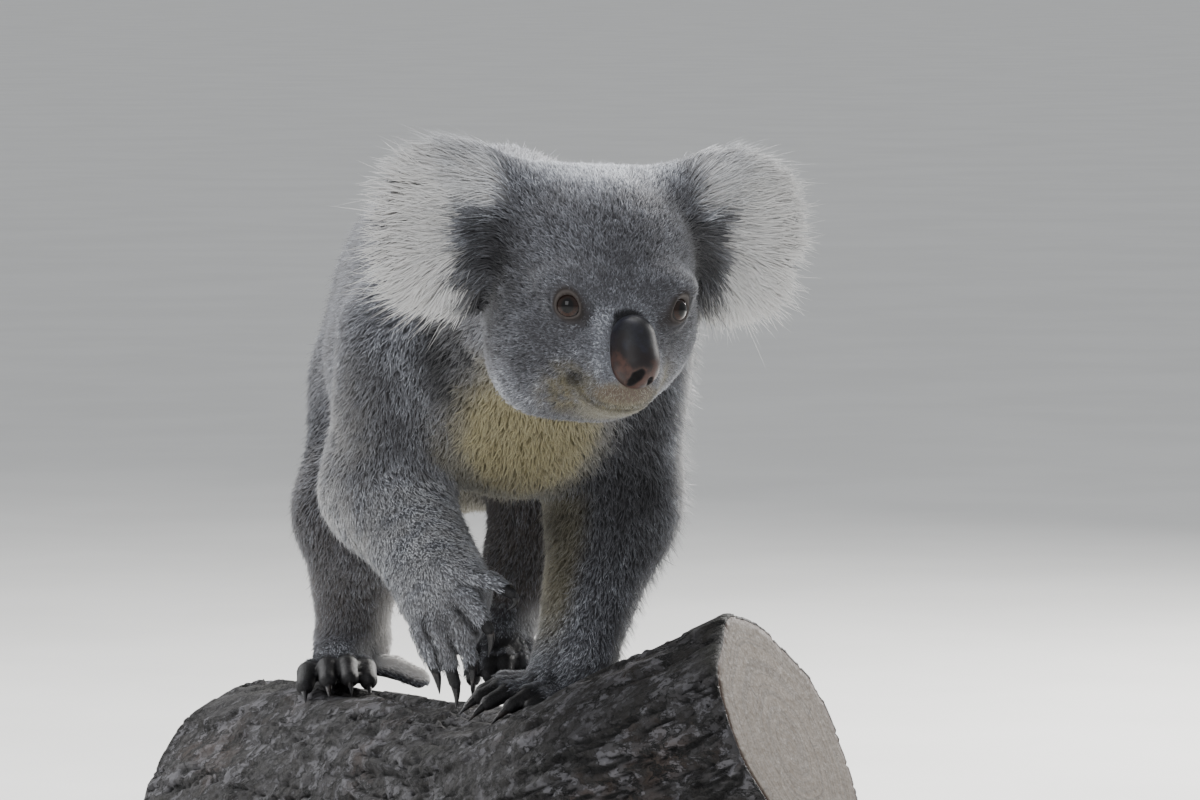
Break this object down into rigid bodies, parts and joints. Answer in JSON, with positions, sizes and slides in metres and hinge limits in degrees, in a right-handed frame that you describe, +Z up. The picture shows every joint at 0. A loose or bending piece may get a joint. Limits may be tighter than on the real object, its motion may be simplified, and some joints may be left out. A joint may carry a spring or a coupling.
{
  "type": "koala",
  "caption": "Life-size still model of a koala walking along a cut length of rough bough, on a flat base with short rods.",
  "frame": {"origin": "the middle of the base's underside", "axes": "+Z up, the koala's body faces -Y with its left to +X, and its head turns a little to +X"},
  "size_m": [0.4326, 0.5518, 0.5872],
  "materials": {
    "fur": "matt, salt-and-pepper grey fur",
    "ear_fur": "long soft pale fur with a grey outer side",
    "nose": "finely pebbled, slightly moist skin",
    "eyes": "glossy, brown iris under a clear dome",
    "claws": "satin horn",
    "bark": "rough, deeply fissured bark with sawn ends",
    "rods": "brushed",
    "base": "dark stain, satin lacquer"
  },
  "bodies": {
    "root": {"upper_arm_right": "fur", "forearm_right": "fur", "hand_right": "fur", "claw_hand_right_1": "claws", "claw_hand_right_2": "claws", "claw_hand_right_3": "claws", "claw_hand_right_4": "claws", "claw_hand_right_5": "claws", "upper_arm_left": "fur", "forearm_left": "fur", "hand_left": "fur", "claw_hand_left_1": "claws", "claw_hand_left_2": "claws", "claw_hand_left_3": "claws", "claw_hand_left_4": "claws", "claw_hand_left_5": "claws", "thigh_right": "fur", "shank_right": "fur", "foot_right": "fur", "claw_foot_right_2": "claws", "claw_foot_right_3": "claws", "claw_foot_right_4": "claws", "claw_foot_right_5": "claws", "thigh_left": "fur", "shank_left": "fur", "foot_left": "fur", "claw_foot_left_2": "claws", "claw_foot_left_3": "claws", "claw_foot_left_4": "claws", "claw_foot_left_5": "claws", "trunk": "fur", "neck": "fur", "head": "fur", "nose": "nose", "ear_right": "ear_fur", "eye_right": "eyes", "ear_left": "ear_fur", "eye_left": "eyes", "stand_perch": "bark", "stand_rod_1": "rods", "stand_rod_2": "rods", "stand_base": "base"}
  },
  "joints": []
}
